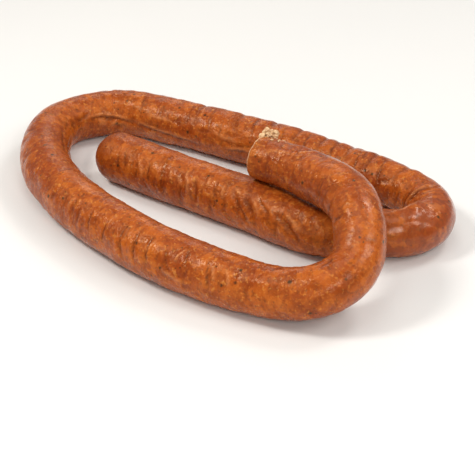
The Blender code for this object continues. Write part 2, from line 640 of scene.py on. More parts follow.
@dataclass
class Skin:
    """The casing over the whole sausage, from the rounded end to the edge of the cut.

    Attributes:
        centreline: The curve that it follows.
        columns: Points round a ring.
        dome_rings: Rings over the rounded end.
        rings: Rings over the rest.
        torn_back: How far the casing is torn back at the cut.
        torn_turn: The turn at which it is torn back most, in radians.
        torn_length: How far behind the cut the points are moved to fit its edge.
        ragged: How far the cut's edge strays from a clean line.
        corner: How far a corner of casing stands out of the cut.
        corner_turn: The turn at which it does, in radians.
        corner_width: Half its width, in radians.
        edge: The casing's thickness, as it curls in at the cut.
        tucked: How far inside the cut the curled casing ends.
        lumps: The lumps of meat under the casing.
        swelling: How much the sausage swells and narrows.
        swelling_length: How far apart the swellings are.
        smooth_tip: How far from the rounded end the skin is smoother.
        lowest: The deepest that the relief may go.
        highest: The highest that it may stand.
        painted_tip_shade: Where the painted shade on the rounded end starts to fade in, and where it
            is full.
        pale_edge: How far from the cut the casing is paler.
        tight_bend: Where the casing is stretched smooth: its start, full, fading and end distances.
        stretched_turn: The turn about which it is stretched, in radians.
        loop: The same distances for the raised loop.
        loop_tautness: How much of the tight bend's tautness the loop has.
        stretches: Where the casing has creases.
        single_folds: The folds that have a place of their own.
        along: Each point's distance along the sausage, once it is laid out.
        turn: Its turn about the sausage's axis, in radians.
        section: The centreline beside it.
        radius: The bare skin's distance from the centreline.
        outward: The direction away from the centreline.
        bare: Where the point is before the relief.
        rim: The ring inside the curled edge, once the skin is built.
    """

    centreline: Centreline
    columns: int = 96
    dome_rings: int = 22
    rings: int = 985
    torn_back: float = 4.0
    torn_turn: float = math.radians(20)
    torn_length: float = 30.0
    ragged: float = 0.5
    corner: float = 3.2
    corner_turn: float = math.radians(243)
    corner_width: float = 0.42
    edge: float = 0.6
    tucked: float = 3.0
    lumps: tuple[Lumps, ...] = (
        Lumps(0.62, 19.0, Seed.COARSE_LUMPS),
        Lumps(0.34, 7.5, Seed.FINE_LUMPS),
    )
    swelling: float = 0.6
    swelling_length: float = 34.0
    smooth_tip: float = 14.0
    lowest: float = -3.2
    highest: float = 2.4
    # Painted shade over the rounded end, fading out along the sausage.
    painted_tip_shade: tuple[float, float] = (34.0, 6.0)
    pale_edge: float = 9.0
    tight_bend: tuple[float, float, float, float] = (224, 242, 272, 300)
    stretched_turn: float = math.radians(35)
    loop: tuple[float, float, float, float] = (930, 970, 1020, 1080)
    loop_tautness: float = 0.45
    stretches: tuple[FoldedStretch, ...] = (
        # first run
        FoldedStretch(28, 210, 20, 45, 13.0, 102, 20, 0.5, 2.1),
        FoldedStretch(30, 130, 12, 22, 8.0, 98, 15, 0.38, 0.9),
        FoldedStretch(125, 205, 14, 24, 8.0, 138, 16, 0.42, 1.0),
        FoldedStretch(40, 215, 125, 45, 20.0, 92, 22, 0.35, 2.0),
        FoldedStretch(30, 215, 195, 25, 11.0, 90, 16, 0.35, 1.2),
        # tight bend: short folds on its inner side, stretched smooth outside
        FoldedStretch(228, 262, 165, 22, 5.5, 92, 14, 0.6, 1.1),
        FoldedStretch(294, 330, 170, 18, 6.0, 90, 14, 0.6, 1.2),
        # back run
        FoldedStretch(320, 590, 120, 30, 17.0, 95, 22, 0.4, 1.1),
        FoldedStretch(330, 700, 15, 45, 13.0, 90, 26, 0.5, 1.5),
        FoldedStretch(320, 640, 165, 22, 19.0, 5, 22, 0.5, 1.2),
        # left bend
        FoldedStretch(590, 750, 160, 35, 14.0, 82, 16, 0.35, 1.3),
        # front run
        FoldedStretch(735, 905, 25, 22, 13.0, 100, 18, 0.42, 1.0),
        FoldedStretch(700, 935, 150, 45, 13.0, 90, 20, 0.4, 1.3),
        # raised loop, and the last run to the cut
        FoldedStretch(935, 1045, 178, 26, 6.5, 90, 15, 0.5, 1.1),
        FoldedStretch(960, 1095, 30, 45, 15.0, 88, 20, 0.35, 1.5),
        FoldedStretch(1066, 1102, 110, 65, 2.9, 91, 30, 0.26, 0.6),
        # faint wrinkles everywhere
        FoldedStretch(20, 1095, 60, 180, 6.5, 90, 10, 0.15, 0.9),
    )
    single_folds: tuple[Fold, ...] = (
        # first run: soft ridges that catch the light, and slanting creases nearer the loop
        Fold(36, 38, 106, 18, 0.6, 0.9, 0.9),
        Fold(52, 30, 124, 16, -0.6, 1.1, -2.0),
        Fold(59, 26, 102, 20, 0.6, 0.9, 1.6),
        Fold(71, 15, 105, 24, 0.66, 1.0, 2.1),
        Fold(77, 41, 108, 9, -0.6, 1.0),
        Fold(85, 34, 134, 11, -0.54, 1.0),
        Fold(92, 34, 118, 25, -1.02, 1.6, 1.5),
        Fold(100, 22, 105, 22, 0.9, 1.6, -0.5),
        Fold(108, 52, 105, 10, -0.48, 1.2, -1.2),
        Fold(115, 26, 108, 20, 0.6, 1.1, 1.7),
        Fold(121, 41, 110, 12, -0.66, 1.2, 0.9),
        Fold(133, 52, 150, 11, -0.6, 1.1, 0.5),
        Fold(140, 16, 135, 30, 1.08, 1.1, -1.0),
        Fold(145, 32, 134, 18, 0.84, 1.0),
        Fold(150, 36, 138, 16, -0.9, 1.2),
        Fold(156, 41, 150, 20, 0.84, 1.0, -0.5),
        Fold(177, 22, 142, 24, 1.44, 1.2, -0.5),
        Fold(178, 38, 140, 20, -1.2, 1.4, -1.6),
        Fold(190, 49, 108, 10, -0.6, 1.1),
        Fold(199, 55, 104, 12, -0.48, 1.2),
        # tight bend: the back run's skin laps over a smooth hollow on the inner side
        Fold(291, 120, 90, 30, 2.0, 0.7, 0.8, 6.5),
        Fold(249, 104, 13, 34, 2.8, 0.8, 0.8, 6.5),
        Fold(264, 98, -58, 15, 1.9, 0.9, -0.9, 5.0),
        Fold(256, 100, 14, 22, -1.8, 4.5),
        Fold(279, 126, 80, 22, 1.6, 5.0),
        Fold(285, 98, 92, 24, 0.4, 0.7, 0.6),
        Fold(280, 96, 94, 24, 0.35, 0.7, 0.5),
        Fold(274.5, 92, 90, 20, 0.35, 0.7, 0.5),
        Fold(272, 160, 90, 20, 1.2, 1.2, 0.6),
        Fold(298, 155, 90, 22, 1.0, 1.3, -1.0),
        # back run: it is drawn in at places
        Fold(489, 72, 90, 56, 0.75, 2.4),
        Fold(455, 76, 92, 54, 0.85, 2.2),
        Fold(429, 76, 88, 56, 0.85, 2.2),
        Fold(407, 74, 91, 46, 0.7, 1.9),
        Fold(386, 76, 90, 52, 0.8, 2.0),
        Fold(364, 78, 93, 46, 0.75, 1.9),
        Fold(345, 80, 88, 48, 0.7, 1.8),
        Fold(320, 80, 90, 50, 0.7, 2.2),
        Fold(440, 112, 96, 26, 0.45, 0.9),
        Fold(397, 112, 98, 26, 0.5, 0.9),
        Fold(375, 116, 95, 28, 0.5, 0.9),
        Fold(354, 118, 99, 28, 0.5, 0.9),
        Fold(334, 116, 102, 26, 0.5, 0.9),
        # creases along the inner side of the back run and the left bend
        Fold(568, 163, -6, 62, 1.7, 1.0, -2.0, 3.4),
        Fold(579, 178, 0, 13, -0.9, 2.2),
        Fold(566, 181, 6, 12, -1.0, 2.0),
        Fold(552, 186, -4, 15, -1.0, 2.2),
        Fold(512, 184, -5, 72, 1.5, 1.0, 1.0, 3.2),
        Fold(522, 190, 40, 9, -1.2, 2.6),
        Fold(519, 150, 177, 28, -0.45, 1.2, -0.5),
        Fold(535, 138, 170, 24, -0.35, 1.1, 0.5),
        Fold(460, 158, 172, 30, -0.6, 1.3, -1.0),
        Fold(446, 180, 4, 30, 0.9, 1.1, -1.0, 3.0),
        Fold(663, 140, 1, 66, 0.5, 1.0, 3.0),
        Fold(658, 168, 178, 60, 0.7, 1.2, 3.0),
        # front run: curved creases over its near side, and pale ridges beside them
        Fold(755, 41, 90, 14, -0.81, 0.9, 1.1),
        Fold(759, 38, 99, 18, 0.68, 0.9, 0.9),
        Fold(793, 26, 92, 16, 0.54, 0.8),
        Fold(808, 36, 106, 30, 1.01, 0.8, 3.0),
        Fold(820, 36, 100, 30, 0.94, 0.75, 1.0),
        Fold(830, 41, 98, 26, 0.81, 0.8, 1.2),
        Fold(832, 49, 78, 13, -0.68, 0.8, -1.0),
        Fold(845, 34, 114, 18, 0.61, 0.8, 2.3),
        Fold(852, 54, 74, 15, -0.88, 0.8, 1.3),
        Fold(857, 58, 109, 22, 0.81, 0.8, 0.5),
        Fold(852, 8, 167, 20, -0.94, 1.2, -0.4),
        Fold(874, 40, 105, 30, 0.88, 0.8, 0.8),
        Fold(878, 41, 106, 14, -0.81, 0.9, 1.6),
        Fold(888, 44, 111, 15, -0.81, 0.9, -2.1),
        # raised loop and last run
        Fold(952, 96, 14, 22, 0.5, 1.2, 2.0),
        Fold(950, 160, 90, 24, 1.1, 1.2, 1.0),
        Fold(1079, 116, 4, 36, -0.4, 1.0, -1.8),
        Fold(1064, 92, 50, 16, -0.5, 0.9, 1.0),
        Fold(1042, 98, 50, 16, 0.4, 0.8, -2.0),
        Fold(1062, 112, 60, 18, 0.3, 1.0, 1.0),
    )
    along: Array = field(init=False, repr=False)
    turn: Array = field(init=False, repr=False)
    section: Section = field(init=False, repr=False)
    radius: Array = field(init=False, repr=False)
    outward: Array = field(init=False, repr=False)
    bare: Array = field(init=False, repr=False)
    rim: Array = field(init=False, repr=False)

    def distances(self) -> Array:
        """Spaces the rings: by a sine over the rounded end, then evenly.

        Returns:
            Their distances along the sausage.
        """
        tip = self.centreline.tip_radius
        dome = np.linspace(0, math.pi / 2, self.dome_rings + 1)[1:]
        rest = np.linspace(tip, self.centreline.length, self.rings + 1)[1:]
        return np.concatenate([tip * (1 - np.cos(dome)), rest])

    def turns(self) -> Array:
        """Turns of a ring's points about the sausage's axis, from the underside round."""
        return np.arange(self.columns) * 2 * math.pi / self.columns - math.pi / 2

    def lay_out(self) -> None:
        """Works out the bare skin: where each point lies along and round the sausage."""
        line, turn = self.centreline, self.turns()
        along = self.distances()[:, None] * np.ones(self.columns)
        share = np.clip((along - line.length + self.torn_length) / self.torn_length, 0, 1)
        torn = self.torn_back * np.maximum(np.cos(turn - self.torn_turn), 0) ** 2
        ragged = self.ragged * gradient_noise(straight(along / 6, turn, 3.0), Seed.RAGGED_CUT)
        off_corner = wrapped(turn - self.corner_turn) / self.corner_width
        corner = self.corner * np.exp(-(off_corner**2))
        self.along = along + (corner - torn) * share**2 + ragged * share**6
        self.turn = np.broadcast_to(turn, along.shape)
        self.section = line.at(self.along)
        dome = np.sqrt(1 - np.clip(1 - self.along / line.tip_radius, 0, 1) ** 2)
        self.radius = self.section.radius * dome
        self.outward = self.section.at_turn(self.turn)
        self.bare = self.section.centre + self.radius[..., None] * self.outward

    def relief(self) -> FoldField:
        """Works out the height of the meat's lumps and of the casing's folds over the bare skin.

        Lumps are layered noise in space. Swellings are noise that changes slowly along the sausage
        and little round it. Folds come from the stretches and from the single folds.

        Returns:
            The heights, with the painted shade of creases and the painted highlight of ridges.
        """
        place = straight(self.along, self.turn, self.section.radius)
        field_ = FoldField(self.along, self.turn, self.section.radius)
        for lumps in self.lumps:
            field_.height += lumps.at(place)
        swelling = straight(self.along / self.swelling_length, self.turn, 0.25)
        field_.height += self.swelling * gradient_noise(swelling, Seed.SWELLINGS)
        chance = np.random.default_rng(Seed.FOLDS)
        for stretch in self.stretches:
            for fold in stretch.folds(chance):
                field_.press(fold)
        for fold in self.single_folds:
            field_.press(fold)
        rough = 0.35 + 0.65 * eased(self.along, 0.0, self.smooth_tip)
        field_.height = np.clip(field_.height * rough, self.lowest, self.highest)
        return field_

    def curled_edge(self, rim: Array, section: Section, turn: Array) -> tuple[Array, Array]:
        """Rings that turn the casing in at the cut and close it inside, and the pole behind them.

        A half circle as wide as the casing is thick turns the skin in, and it then runs back.

        Args:
            rim: The skin's last ring.
            section: The centreline at that ring.
            turn: The ring's turns.

        Returns:
            The rings, and the pole.
        """
        ahead = np.cross(section.up, section.side)
        outward = section.at_turn(turn)
        bend = np.linspace(0, math.pi, 6)[1:]
        back = [-self.tucked / 2, -self.tucked]
        forward = np.concatenate([self.edge / 2 * np.sin(bend), back])
        inward = np.concatenate([self.edge / 2 * (1 - np.cos(bend)), [self.edge, 1.2 * self.edge]])
        rings = rim + forward[:, None, None] * ahead - inward[:, None, None] * outward
        return rings, rings[-1].mean(axis=0)

    def tautness(self) -> Array:
        """Works out where the casing is stretched smooth.

        On the tight bend it is, about the stretched turn, by a smooth step of the cosine of the turn
        away from it. The raised loop is less so, all round.

        Returns:
            A share from 0 to 1 for each point.
        """
        bend = held(self.along, self.tight_bend)
        bend = bend * eased(np.cos(self.turn - self.stretched_turn), -0.1, 0.6)
        return np.maximum(bend, self.loop_tautness * held(self.along, self.loop))

    def build(self) -> bpy.types.Object:
        """Makes the skin's object.

        Its points hold their place on the straightened sausage, the marks for painted shade in creases
        and painted highlight on ridges, how near they are to the cut, the painted shade on the rounded
        end, and how taut the casing is.

        Returns:
            The object.
        """
        self.lay_out()
        field_ = self.relief()
        points = self.bare + field_.height[..., None] * self.outward
        points[..., 2] = np.maximum(points[..., 2], 0)
        last = Section(
            self.section.centre[-1], self.section.side[-1], self.section.up[-1], self.radius[-1]
        )
        curl, pole = self.curled_edge(points[-1], last, self.turn[-1])
        self.rim = curl[2]
        tip = self.centreline.at(np.array(0.0)).centre
        tube = TubeMesh("skin", np.concatenate([points, curl]), tip, pole, strips=3)
        to_cut = self.centreline.length - self.along
        marks = {
            "lay": straight(self.along, self.turn, self.section.radius) * MM,
            # painted shade in creases, and painted highlight with paler casing on ridges
            "crease_shade": field_.crease_shade,
            "ridge_sheen": field_.ridge_sheen,
            "edge": eased(to_cut, self.pale_edge, 0.0),
            # painted shade on the rounded end
            "tip": eased(self.along, *self.painted_tip_shade),
            "taut": self.tautness(),
        }
        return tube.build(**{name: self.with_ends(mark, len(curl)) for name, mark in marks.items()})

    @staticmethod
    def with_ends(values: Array, more: int) -> Array:
        """Fills a tube's marks out to its curled edge and its poles.

        Args:
            values: The marks of the skin's own rings.
            more: How many rings the curled edge has. They take the last ring's marks.

        Returns:
            A mark for each of the tube's points.
        """
        rows = np.concatenate([values, np.repeat(values[-1:], more, axis=0)])
        flat = rows.reshape(-1, *values.shape[2:])
        return np.concatenate([flat[:1], flat, flat[-1:]])


# ---------------------------------------------------------------- the cut end


@dataclass
class CutEnd:
    """What shows at the cut: the filling, the tuft of crumbs, and the casing's pale edge.

    Attributes:
        skin: The skin, after it is built.
        bulge: How far the filling stands out at the middle.
        tuft_height: How far the tuft stands out of the sausage's side.
        tuft_turn: The turn at which it stands, in radians.
        tuft_lean: How far the filling under the tuft stands out past the rim.
        hidden_rings: Rings of the filling behind the cut.
        face_rings: Rings over its face.
        lumps: The lumps in the filling.
        edge_radius: Half the thickness of the pale edge.
        edge_along: How the edge strays along the sausage.
        edge_outward: How it strays outwards.
        edge_thickness: How its thickness varies, as a share of it.
        crumbs: How many crumbs the tuft has.
        heap_spread: How far they spread to the outer side and to the top, in radians.
        heap_ends: The furthest turns from the tuft's middle that they reach, in radians.
        heap_width: Half the heap's width on the outer side and towards the top, in radians.
        heap_depth: How far the heap reaches along the sausage from its middle.
        crumb_size: The least and greatest radius of a crumb.
        loose: How many crumbs stick to the casing behind it.
        loose_size: The least and greatest radius of those.
        loose_back: How far behind the cut they are, at least and at most.
        crumb_lumps: How rough a crumb is, as a share of its radius.
        crumb_circles: Circles of latitude on a crumb.
        crumb_sides: Points round each.
    """

    skin: Skin
    bulge: float = 3.6
    tuft_height: float = 6.6
    tuft_turn: float = math.radians(49)
    tuft_lean: float = 2.6
    hidden_rings: int = 5
    face_rings: int = 60
    lumps: tuple[Lumps, ...] = (
        Lumps(1.5, 5.0, Seed.FILLING_LUMPS, 3),
        Lumps(0.6, 1.9, Seed.FILLING_GRAINS),
    )
    edge_radius: float = 0.25
    edge_along: Lumps = Lumps(0.25, 4.0, Seed.EDGE_ALONG)
    edge_outward: Lumps = Lumps(0.15, 3.0, Seed.EDGE_OUTWARD)
    edge_thickness: Lumps = Lumps(0.45, 2.5, Seed.EDGE_THICKNESS)
    crumbs: int = 52
    heap_spread: tuple[float, float] = (0.17, 0.34)
    heap_ends: tuple[float, float] = (-0.34, 0.95)
    heap_width: tuple[float, float] = (0.3, 0.55)
    heap_depth: float = 2.9
    crumb_size: tuple[float, float] = (1.3, 2.5)
    loose: int = 9
    loose_size: tuple[float, float] = (0.45, 0.85)
    loose_back: tuple[float, float] = (7, 15)
    crumb_lumps: Lumps = Lumps(0.5, 1.9, Seed.CRUMB_LUMPS, 3)
    crumb_circles: int = 16
    crumb_sides: int = 26

    def axes(self) -> tuple[Section, Array]:
        """Reads the centreline at the cut.

        Returns:
            Its section there, and the direction that the cut faces.
        """
        line = self.skin.centreline
        section = line.at(np.array(line.length))
        return section, np.cross(section.up, section.side)

    def around(self, count: int) -> tuple[Array, Array]:
        """The inner rim at evenly spaced turns.

        Args:
            count: How many points to give.

        Returns:
            The turns, and the points.
        """
        turn = np.arange(count) * 2 * math.pi / count - math.pi / 2
        known = self.skin.turns()
        rim = self.skin.rim
        known = np.concatenate([known, known[:1] + 2 * math.pi])
        rim = np.concatenate([rim, rim[:1]])
        return turn, np.stack([np.interp(turn, known, rim[:, k]) for k in range(3)], axis=-1)

    def build_filling(self) -> bpy.types.Object:
        """Makes the filling: a lumpy disc that bulges out of the casing and is closed behind.

        A ring at share t of the rim's radius stands out by bulge times (1 - t^4), plus layered noise.
        On the tuft's side the outer rings stand out past the rim too.

        Returns:
            The object.
        """
        section, ahead = self.axes()
        turn, rim = self.around(144)
        middle = rim.mean(axis=0)
        outward = section.at_turn(turn)
        hidden, shown = self.hidden_rings, self.face_rings
        share = np.concatenate([np.linspace(0.55, 0.97, hidden), np.linspace(0.985, 0.02, shown)])
        depth = np.concatenate([np.linspace(-2.8, -0.6, hidden), np.zeros(shown)])[:, None]
        face = np.repeat([0.0, 1.0], [hidden, shown])[:, None]
        share = share[:, None]
        tuft = np.maximum(np.cos(turn - self.tuft_turn), 0) ** 7 * eased(share, 0.35, 0.9)
        out = depth + face * (0.2 + self.bulge * (1 - share**4) + self.tuft_lean * tuft)
        points = middle + share[..., None] * (rim - middle) + out[..., None] * ahead
        points += (0.55 * self.tuft_height * tuft * face)[..., None] * outward
        lump = sum(lumps.at(points) for lumps in self.lumps)
        lump = lump * face * eased(share, 1.0, 0.86)
        points = points + lump[..., None] * (ahead + 0.5 * (tuft[..., None] * outward))
        dry = np.clip(eased(share, 0.66, 0.95) + 1.4 * tuft, 0, 1) * np.ones(turn.shape)
        flat = np.concatenate([dry[:1, 0], dry.ravel(), dry[-1:, 0]])
        tube = TubeMesh("filling", points, points[0].mean(axis=0), points[-1].mean(axis=0))
        return tube.build(dry=flat)

    def build_crumbs(self) -> bpy.types.Object:
        """Makes the tuft: small lumps of meat and fat, heaped where the casing is torn back.

        The heap's height falls with the turn from its middle as a bell, more slowly towards the top
        of the sausage. Each crumb is a sphere stretched three ways and roughened by noise.

        Returns:
            The object.
        """
        chance = np.random.default_rng(Seed.CRUMBS)
        meshes = []
        for _ in range(self.crumbs):
            spread = chance.normal(0, 1)
            side = int(spread > 0)
            turn = np.clip(self.heap_spread[side] * spread, *self.heap_ends)
            peak = math.exp(-((turn / self.heap_width[side]) ** 2))
            height = chance.uniform(-1.3, self.tuft_height * peak - 0.7)
            size = chance.uniform(*self.crumb_size)
            size *= 1 - 0.3 * max(height, 0) / self.tuft_height
            size *= 1 - 0.35 * min(1, abs(turn) / 0.9)
            reach = self.heap_depth * peak + 0.4
            forward = chance.uniform(-reach, reach) - self.skin.torn_back * 0.45 * peak + 0.2
            meshes.append(self.crumb(self.place(turn, height, forward), size, chance))
        for _ in range(self.loose):
            turn, back = chance.uniform(-0.1, 0.7), chance.uniform(*self.loose_back)
            size = chance.uniform(*self.loose_size)
            meshes.append(self.crumb(self.place(turn, 0.5 * size, -back), size, chance))
        return joined("crumbs", meshes)

    def place(self, turn: float, height: float, forward: float) -> Array:
        """Finds a place over the casing.

        Args:
            turn: The turn from the tuft's middle, in radians.
            height: The height over the casing.
            forward: How far ahead of the cut it is. Well behind the cut, it follows the centreline.

        Returns:
            The place.
        """
        line = self.skin.centreline
        section, ahead = self.axes()
        if forward < -6:
            section = line.at(np.array(line.length + forward))
            forward = 0.0
        radius = section.radius + height
        outward = section.at_turn(np.array(self.tuft_turn + turn))
        return section.centre + radius * outward + forward * ahead

    def crumb(self, centre: Array, size: float, chance: np.random.Generator) -> TubeMesh:
        """One crumb: rings of latitude about its middle, pushed in and out by noise.

        Args:
            centre: Its middle.
            size: Its rough radius.
            chance: The random numbers to draw from.

        Returns:
            Its closed mesh.
        """
        latitude = np.linspace(-math.pi / 2, math.pi / 2, self.crumb_circles + 2)[1:-1, None]
        longitude = np.arange(self.crumb_sides)[None, :] * 2 * math.pi / self.crumb_sides
        ball = np.stack(
            [
                np.cos(latitude) * np.cos(longitude),
                np.cos(latitude) * np.sin(longitude),
                np.sin(latitude) + 0 * longitude,
            ],
            axis=-1,
        )
        stretch = chance.uniform(0.6, 1.35, 3)
        turned, _ = np.linalg.qr(chance.normal(size=(3, 3)))
        turned *= np.sign(np.linalg.det(turned))
        rough = 1 + self.crumb_lumps.at(ball * 2 + chance.uniform(0, 50, 3))
        rings = centre + size * (ball * rough[..., None] * stretch) @ turned
        poles = centre + size * (np.array([[0, 0, -1], [0, 0, 1]]) * stretch) @ turned
        return TubeMesh("crumb", rings, poles[0], poles[1])

    def build_edge(self) -> bpy.types.Object:
        """Makes the pale edge: a thin ragged cord of cut casing, closed into a ring.

        Returns:
            The object.
        """
        section, ahead = self.axes()
        turn, rim = self.around(300)
        outward = section.at_turn(turn)
        place = straight(np.zeros(1), turn, 14.0)
        rim = rim + self.edge_along.at(place)[:, None] * ahead
        rim = rim + (0.3 + self.edge_outward.at(place))[:, None] * outward
        thick = self.edge_radius * (1 + self.edge_thickness.at(place))
        return ring_cord("casing_edge", rim, outward, ahead, thick)


def joined(name: str, parts: list[TubeMesh]) -> bpy.types.Object:
    """Builds closed tubes and makes them one object.

    Args:
        name: The object's name.
        parts: The tubes.

    Returns:
        The one object, with a texture map laid out in a square of small tiles.
    """
    pieces = [part.build(dry=np.ones(len(part.points()))) for part in parts]
    side = math.ceil(math.sqrt(len(pieces)))
    for number, piece in enumerate(pieces):
        layer = piece.data.uv_layers["OFBake"].data
        places = np.empty(len(layer) * 2, np.float32)
        layer.foreach_get("uv", places)
        tile = np.array([number % side, number // side], np.float32)
        layer.foreach_set("uv", ((places.reshape(-1, 2) + tile) / side).ravel())
    with bpy.context.temp_override(active_object=pieces[0], selected_editable_objects=pieces):
        bpy.ops.object.join()
    pieces[0].name = pieces[0].data.name = name
    return pieces[0]


def ring_cord(
    name: str, path: Array, outward: Array, ahead: Array, radius: Array, sides: int = 10
) -> bpy.types.Object:
    """A thin cord closed into a ring: at each point of the path, a small circle across it.

    Args:
        name: The object's name.
        path: The cord's middle, point by point, closed on itself.
        outward: Directions away from the ring's middle.
        ahead: The direction along the ring's axis.
        radius: The cord's radius at each point.
        sides: Points round the cord.

    Returns:
        The new object.
    """
    angle = np.arange(sides) * 2 * math.pi / sides
    circle = np.cos(angle)[:, None, None] * outward + np.sin(angle)[:, None, None] * ahead
    points = np.moveaxis(path + radius[:, None] * circle, 0, 1).reshape(-1, 3) * MM
    number = np.arange(len(points)).reshape(len(path), sides)
    following = np.roll(number, -1, axis=0)
    beside = np.roll(number, -1, axis=1)
    quads = np.stack([number, following, np.roll(following, -1, axis=1), beside], axis=-1)
    mesh = bpy.data.meshes.new(name)
    mesh.from_pydata(points.tolist(), [], quads.reshape(-1, 4).tolist())
    mesh.shade_smooth()
    piece = bpy.data.objects.new(name, mesh)
    bpy.context.scene.collection.objects.link(piece)
    return piece


# ---------------------------------------------------------------- shader nodes


class Sum(Enum):
    """What a maths node works out."""

    TIMES = "MULTIPLY"
    TIMES_PLUS = "MULTIPLY_ADD"
    PLUS = "ADD"
    LARGER = "MAXIMUM"
    BELOW = "LESS_THAN"


class Nodes:
    """A short way to add and join the nodes of one material or node group."""

    def __init__(self, tree: bpy.types.NodeTree) -> None:
        """Starts on a node tree."""
        self.tree = tree

    def add(self, kind: str, feature: str = "", **inputs: object) -> bpy.types.Node:
        """Adds a node, and gives its inputs numbers or the outputs of other nodes.

        Args:
            kind: The node's type.
            feature: A cell pattern's feature, if it isn't the usual one.
            **inputs: Values by the input's name, with an underscore for each space.

        Returns:
            The new node.
        """
        node = self.tree.nodes.new(kind)
        if feature:
            node.feature = feature
        for name, value in inputs.items():
            self.feed(node.inputs[name.replace("_", " ")], value)
        return node

    def feed(self, target: Socket, value: object) -> None:
        """Joins an output to an input, or sets the input's own value.

        Args:
            target: The input.
            value: Another node's output, or a plain value.
        """
        if isinstance(value, bpy.types.NodeSocket):
            self.tree.links.new(value, target)
        else:
            target.default_value = value

    def feed_all(self, targets: object, values: object) -> None:
        """Feeds inputs in their order."""
        for target, value in zip(targets, values):
            self.feed(target, value)

    def maths(self, how: Sum, *values: Amount) -> Socket:
        """Works out one operation on numbers.

        Args:
            how: The operation.
            *values: Its numbers or outputs.

        Returns:
            The result.
        """
        node = self.tree.nodes.new("ShaderNodeMath")
        node.operation = how.value
        self.feed_all(node.inputs, values)
        return node.outputs[0]

    def share(self, value: Socket, much: Amount) -> Socket:
        """A mask made weaker by a number, or by another mask."""
        return self.maths(Sum.TIMES, value, much)

    def across(self, how: Sum, *values: Stretch | Socket) -> Socket:
        """Works out one operation on places, axis by axis.

        Args:
            how: The operation.
            *values: Its places, or lists of three numbers.

        Returns:
            The result.
        """
        node = self.tree.nodes.new("ShaderNodeVectorMath")
        node.operation = how.value
        self.feed_all(node.inputs, values)
        return node.outputs[0]

    def stretched(self, place: Socket, scale: Stretch) -> Socket:
        """Places multiplied axis by axis, which stretches the pattern that reads them."""
        return self.across(Sum.TIMES, place, scale)

    def warped(self, place: Socket, scale: Amount, reach: float) -> Socket:
        """Places pushed about by coloured noise, by up to the reach in metres."""
        drift = self.add("ShaderNodeTexNoise", Vector=place, Scale=scale, Detail=2.0)
        return self.across(Sum.TIMES_PLUS, drift.outputs["Color"], (reach, reach, reach), place)

    def noise(self, place: Socket, scale: Amount, detail: float = 2.0, warp: float = 0.0) -> Socket:
        """Makes smooth noise.

        Args:
            place: Where it is read.
            scale: How many bumps it has in a metre.
            detail: How many finer layers lie over it.
            warp: How much it is pushed about.

        Returns:
            A number from 0 to 1.
        """
        node = self.add(
            "ShaderNodeTexNoise", Vector=place, Scale=scale, Detail=detail, Distortion=warp
        )
        return node.outputs["Fac"]

    def mask(self, value: Socket, low: Amount, high: Amount) -> Socket:
        """Turns a value into a mask with soft edges.

        Args:
            value: The value.
            low: Where the mask is 0. It may be above high.
            high: Where the mask is 1.

        Returns:
            The mask.
        """
        node = self.tree.nodes.new("ShaderNodeMapRange")
        node.interpolation_type = "SMOOTHSTEP"
        self.feed_all(node.inputs, (value, low, high, 0.0, 1.0))
        return node.outputs[0]

    def between(self, value: Socket, low: float, high: float) -> Socket:
        """Makes a number that goes evenly from low to high.

        Args:
            value: A mask.
            low: The number where the mask is 0.
            high: The number where it is 1.

        Returns:
            The number.
        """
        node = self.tree.nodes.new("ShaderNodeMapRange")
        self.feed_all(node.inputs, (value, 0.0, 1.0, low, high))
        return node.outputs[0]

    def blend(self, share: Amount, first: Paint, second: Paint) -> Socket:
        """Mixes two colours.

        Args:
            share: 0 gives the first, and 1 the second.
            first: A colour, or an output.
            second: A colour, or an output.

        Returns:
            The mixed colour.
        """
        node = self.tree.nodes.new("ShaderNodeMix")
        node.data_type = "RGBA"
        node.blend_type = "MIX"
        self.feed(node.inputs[0], share)
        self.feed(node.inputs[6], opaque(first))
        self.feed(node.inputs[7], opaque(second))
        return node.outputs[2]

    def laid_over(self, colour: Paint, layers: Layers) -> Socket:
        """Lays colours over a first one, one after another.

        Args:
            colour: The first colour.
            layers: For each colour on top, its mask, its strength and the colour.

        Returns:
            The last colour.
        """
        for mask, strength, over in layers:
            colour = self.blend(self.share(mask, strength), colour, over)
        return colour

    def parts(self, colour: Socket) -> tuple[Socket, Socket, Socket]:
        """Splits a colour.

        Args:
            colour: The colour.

        Returns:
            Its red, green and blue.
        """
        node = self.tree.nodes.new("ShaderNodeSeparateColor")
        self.feed(node.inputs[0], colour)
        return tuple(node.outputs)

    def attribute(self, name: str, output: str = "Fac") -> Socket:
        """Reads what a mesh holds at each point.

        Args:
            name: The name that the mesh holds it under.
            output: "Fac" for a number, "Vector" for a place.

        Returns:
            What it holds.
        """
        node = self.tree.nodes.new("ShaderNodeAttribute")
        node.attribute_name = name
        return node.outputs[output]

    def bump(
        self, height: Socket, depth: float, strength: Amount, over: Socket | None = None
    ) -> Socket:
        """Tilts the normal by a height.

        Args:
            height: The height, from 0 to 1.
            depth: The depth in metres that it stands for.
            strength: How much of the tilt shows.
            over: The normal to start from, if it isn't the mesh's own.

        Returns:
            The normal.
        """
        node = self.add("ShaderNodeBump", Height=height, Distance=depth, Strength=strength)
        if over is not None:
            self.feed(node.inputs["Normal"], over)
        return node.outputs[0]


def opaque(value: Paint) -> tuple[float, ...] | Socket:
    """A colour with its alpha, or a socket as it is."""
    return (*value, 1.0) if isinstance(value, tuple) and len(value) == 3 else value


